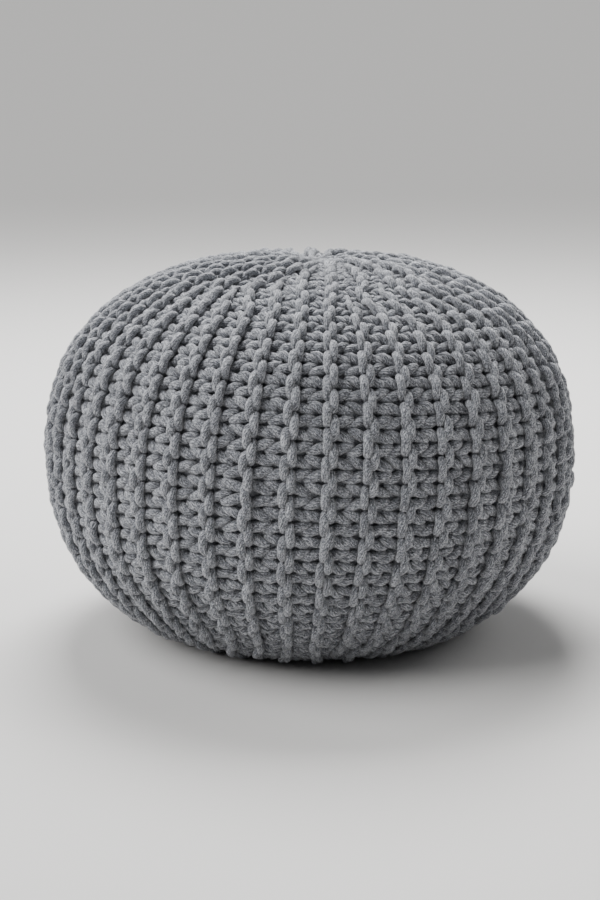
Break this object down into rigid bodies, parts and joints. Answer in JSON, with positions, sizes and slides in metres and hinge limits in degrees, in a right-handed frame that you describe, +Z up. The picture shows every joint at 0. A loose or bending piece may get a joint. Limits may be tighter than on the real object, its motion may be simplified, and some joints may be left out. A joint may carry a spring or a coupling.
{
  "type": "knitted pouf",
  "caption": "Round floor pouf in chunky grey yarn, knitted in ridges that run from a gathered crown down to a flat base.",
  "frame": {"origin": "centre of the flat base, on the surface that the pouf stands on", "axes": "+Z up through the gathered crown, -Y towards the front, +X to the right seen from the front"},
  "size_m": [0.4997, 0.4995, 0.3565],
  "materials": {
    "yarn": "matte heathered cotton yarn"
  },
  "bodies": {
    "root": {"knitted_pouf": "yarn"}
  },
  "joints": []
}
